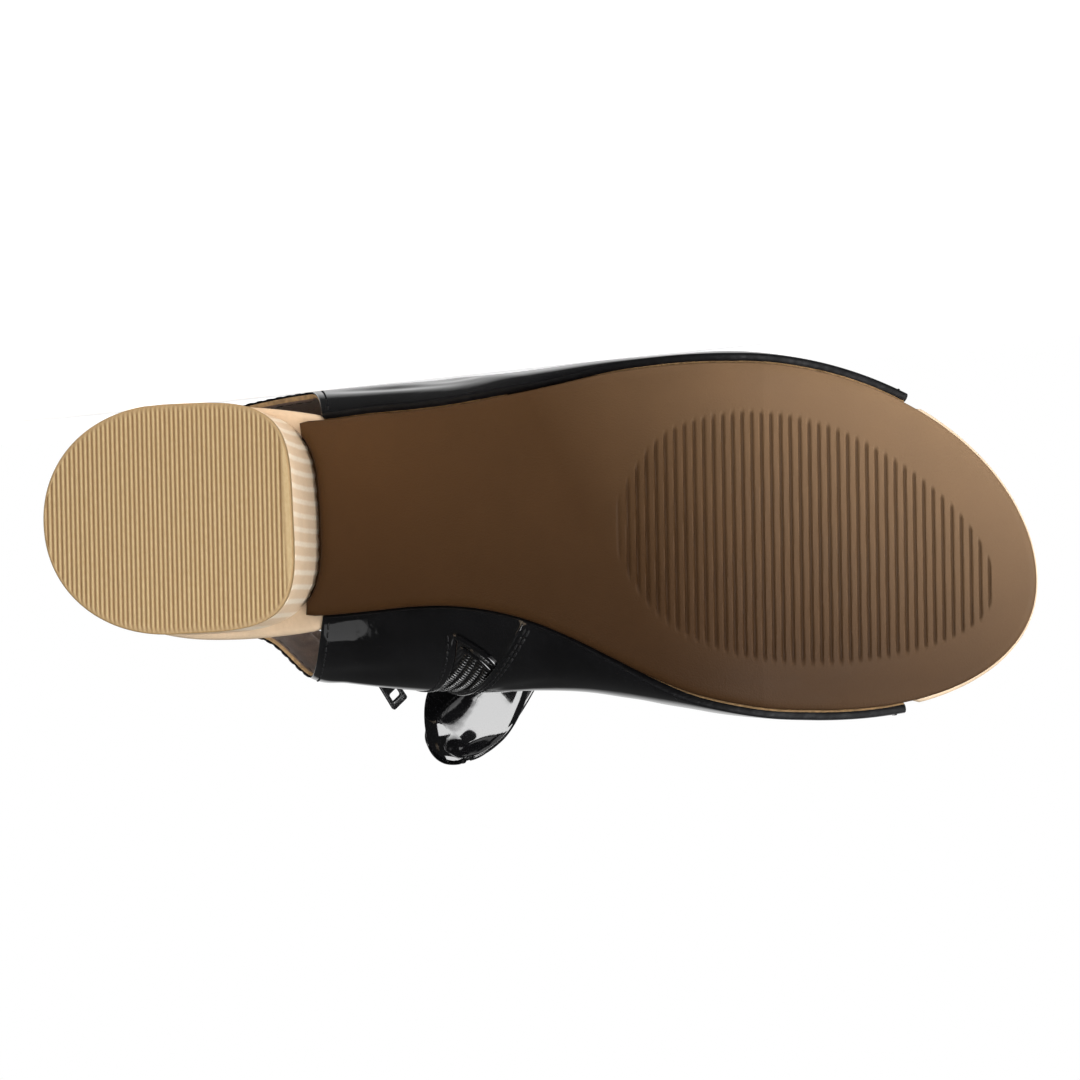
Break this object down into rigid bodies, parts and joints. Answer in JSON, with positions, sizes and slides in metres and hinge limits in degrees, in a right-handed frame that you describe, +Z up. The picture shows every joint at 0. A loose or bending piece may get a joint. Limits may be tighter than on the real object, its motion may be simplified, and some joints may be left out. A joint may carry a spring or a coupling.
{
  "type": "heeled sandal",
  "caption": "Open-toe, open-back heeled sandal with a hollow patent upper, a pale block heel, a ribbed outsole, an inner zip with a swinging pull tab and a ribbon bow on the instep.",
  "frame": {"origin": "on the floor under the middle of the shoe's box, the shoe lying on its outer side", "axes": "+X from toe to heel, +Y from sole to ankle, +Z up, which is from the outer to the inner side of the foot"},
  "size_m": [0.2398, 0.1334, 0.1029],
  "materials": {
    "heel_tip_rubber": "tan, matt, finely ribbed",
    "heel_wood": "pale natural wood with soft bands, satin",
    "sole_rubber": "brown moulded rubber, satin",
    "footbed": "cream wrapped edge, matt",
    "patent_leather": "black patent, mirror gloss",
    "zip_tape": "black woven tape with a coil",
    "black_metal": "black lacquered metal"
  },
  "bodies": {
    "shoe": {"top_lift": "heel_tip_rubber", "heel_block": "heel_wood", "outsole": "sole_rubber", "insole": "footbed", "upper": "patent_leather", "zip_band": "zip_tape", "zip_slider": "black_metal", "bow_knot": "patent_leather", "bow_loop_medial": "patent_leather", "bow_loop_lateral": "patent_leather"},
    "zip_pull": {"zip_pull_tab": "black_metal"}
  },
  "joints": [
    {"name": "pull_tab_swing", "type": "hinge", "parent": "shoe", "child": "zip_pull", "pos_m": [0.04755, 0.04216, 0.07203], "axis": [0.7403, -0.3543, 0.5713], "range_deg": [-95, 85]}
  ]
}
